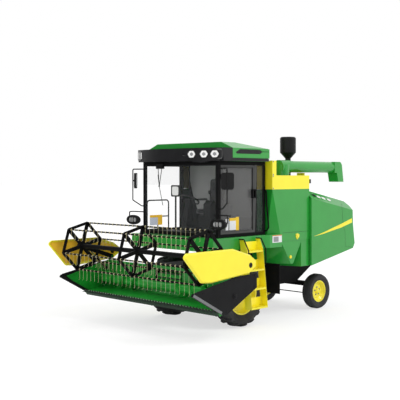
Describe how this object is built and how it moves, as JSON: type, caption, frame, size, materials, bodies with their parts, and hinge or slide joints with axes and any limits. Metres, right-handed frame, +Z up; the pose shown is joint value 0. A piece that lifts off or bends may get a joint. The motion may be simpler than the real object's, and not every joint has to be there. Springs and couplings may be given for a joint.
{
  "type": "combine harvester",
  "caption": "Self-propelled combine harvester with a grain header, pick-up reel, cab, grain tank, unloading auger and straw hood.",
  "frame": {"origin": "on the ground, under the centre of the bounding box", "axes": "+X to the machine's own left, +Y to its rear, +Z up; it drives and cuts towards -Y"},
  "size_m": [3.9, 5.9426, 3.765],
  "materials": {
    "green_paint": "gloss",
    "yellow_paint": "gloss",
    "dark_paint": "satin",
    "grey_paint": "satin",
    "black_plastic": "matte",
    "rod_chrome": "polished",
    "tyre_rubber": "matte",
    "tinted_glass": "clear",
    "lamp_glass": "clear",
    "flap_rubber": "matte",
    "red_lens": "clear",
    "seat_fabric": "matte"
  },
  "bodies": {
    "chassis": {"air_precleaner": "black_plastic", "cab_frame": "dark_paint", "cab_glass": "tinted_glass", "cab_roof": "green_paint", "chassis_frame": "dark_paint", "engine": "grey_paint", "grain_tank": "green_paint", "handrails": "black_plastic", "ladder": "yellow_paint", "lamps": "lamp_glass", "mirrors": "black_plastic", "mud_flaps": "flap_rubber", "operator_seat": "seat_fabric", "platform": "green_paint", "rear_axle": "dark_paint", "rear_hood": "green_paint", "rear_lamps": "red_lens", "roof_fascia": "black_plastic", "separator_body": "dark_paint", "side_hoppers": "green_paint", "steering_console": "black_plastic", "tank_extension": "yellow_paint", "unloading_riser": "green_paint"},
    "header": {"feeder_house": "dark_paint", "header_frame": "green_paint", "header_ends": "dark_paint", "cutterbar": "dark_paint"},
    "header_auger": {"header_auger": "green_paint"},
    "reel_arms": {"reel_arms": "dark_paint", "reel_shields": "yellow_paint"},
    "reel": {"reel": "dark_paint"},
    "lift_barrels": {"lift_barrels": "dark_paint"},
    "lift_rods": {"lift_rods": "rod_chrome"},
    "reel_barrels": {"reel_barrels": "dark_paint"},
    "reel_rods": {"reel_rods": "rod_chrome"},
    "wheel_front_left": {"tyre_front_left": "tyre_rubber", "rim_front_left": "yellow_paint"},
    "wheel_front_right": {"tyre_front_right": "tyre_rubber", "rim_front_right": "yellow_paint"},
    "wheel_rear_left": {"tyre_rear_left": "tyre_rubber", "rim_rear_left": "yellow_paint"},
    "wheel_rear_right": {"tyre_rear_right": "tyre_rubber", "rim_rear_right": "yellow_paint"},
    "knuckle_left": {"knuckle_left": "dark_paint"},
    "knuckle_right": {"knuckle_right": "dark_paint"},
    "tie_rod": {"tie_rod": "dark_paint"},
    "cab_door": {"cab_door": "dark_paint", "door_glass": "tinted_glass"},
    "unloading_tube": {"unloading_tube": "green_paint"}
  },
  "joints": [
    {"name": "header_lift", "type": "hinge", "parent": "chassis", "child": "header", "pos_m": [0, -0.21, 1.05], "axis": [-1, 0, 0], "range_deg": [-14.5, 4]},
    {"name": "auger_spin", "type": "hinge", "parent": "header", "child": "header_auger", "pos_m": [0, -1.7, 0.8], "axis": [1, 0, 0], "continuous": true},
    {"name": "reel_lift", "type": "hinge", "parent": "header", "child": "reel_arms", "pos_m": [0, -1.49, 1.24], "axis": [-1, 0, 0], "range_deg": [-7, 4]},
    {"name": "reel_spin", "type": "hinge", "parent": "reel_arms", "child": "reel", "pos_m": [0, -2.305, 1.509], "axis": [1, 0, 0], "continuous": true},
    {"name": "lift_cylinder_pivot", "type": "hinge", "parent": "chassis", "child": "lift_barrels", "pos_m": [0, -0.48, 0.47], "axis": [-1, 0, 0], "range_deg": [-19, 5.4]},
    {"name": "lift_cylinder_stroke", "type": "slide", "parent": "lift_barrels", "child": "lift_rods", "axis": [0, -0.9797, 0.2007], "range_m": [-0.154, 0.044]},
    {"name": "reel_cylinder_pivot", "type": "hinge", "parent": "header", "child": "reel_barrels", "pos_m": [0, -1.59, 1], "axis": [-1, 0, 0], "range_deg": [-6.3, 3.7]},
    {"name": "reel_cylinder_stroke", "type": "slide", "parent": "reel_barrels", "child": "reel_rods", "axis": [0, -0.7302, 0.6832], "range_m": [-0.031, 0.018]},
    {"name": "spin_front_left", "type": "hinge", "parent": "chassis", "child": "wheel_front_left", "pos_m": [0.92, -0.54, 0.632], "axis": [1, 0, 0], "continuous": true},
    {"name": "spin_front_right", "type": "hinge", "parent": "chassis", "child": "wheel_front_right", "pos_m": [-0.92, -0.54, 0.632], "axis": [1, 0, 0], "continuous": true},
    {"name": "steer_left", "type": "hinge", "parent": "chassis", "child": "knuckle_left", "pos_m": [0.56, 2.255, 0.38], "axis": [0, 0, 1], "range_deg": [-35, 35]},
    {"name": "steer_right", "type": "hinge", "parent": "chassis", "child": "knuckle_right", "pos_m": [-0.56, 2.255, 0.38], "axis": [0, 0, 1], "range_deg": [-35, 35]},
    {"name": "tie_rod_pivot", "type": "hinge", "parent": "knuckle_left", "child": "tie_rod", "pos_m": [0.56, 2.09, 0.336], "axis": [0, 0, 1], "range_deg": [-35, 35]},
    {"name": "spin_rear_left", "type": "hinge", "parent": "knuckle_left", "child": "wheel_rear_left", "pos_m": [0.74, 2.255, 0.38], "axis": [1, 0, 0], "continuous": true},
    {"name": "spin_rear_right", "type": "hinge", "parent": "knuckle_right", "child": "wheel_rear_right", "pos_m": [-0.74, 2.255, 0.38], "axis": [1, 0, 0], "continuous": true},
    {"name": "door_hinge", "type": "hinge", "parent": "chassis", "child": "cab_door", "pos_m": [1.074, -1.177, 2.47], "axis": [0, 0, -1], "range_deg": [0, 80]},
    {"name": "unloading_swing", "type": "hinge", "parent": "chassis", "child": "unloading_tube", "pos_m": [1, 0.73, 3], "axis": [0, 0, -1], "range_deg": [0, 105]}
  ],
  "couplings": [
    {"joint": "lift_cylinder_pivot", "follows": "header_lift", "ratio": 1.2787},
    {"joint": "lift_cylinder_stroke", "follows": "header_lift", "m_per_rad": 0.595},
    {"joint": "reel_cylinder_pivot", "follows": "reel_lift", "ratio": 0.86},
    {"joint": "reel_cylinder_stroke", "follows": "reel_lift", "m_per_rad": 0.2454},
    {"joint": "steer_right", "follows": "steer_left", "ratio": 1},
    {"joint": "tie_rod_pivot", "follows": "steer_left", "ratio": -1}
  ]
}
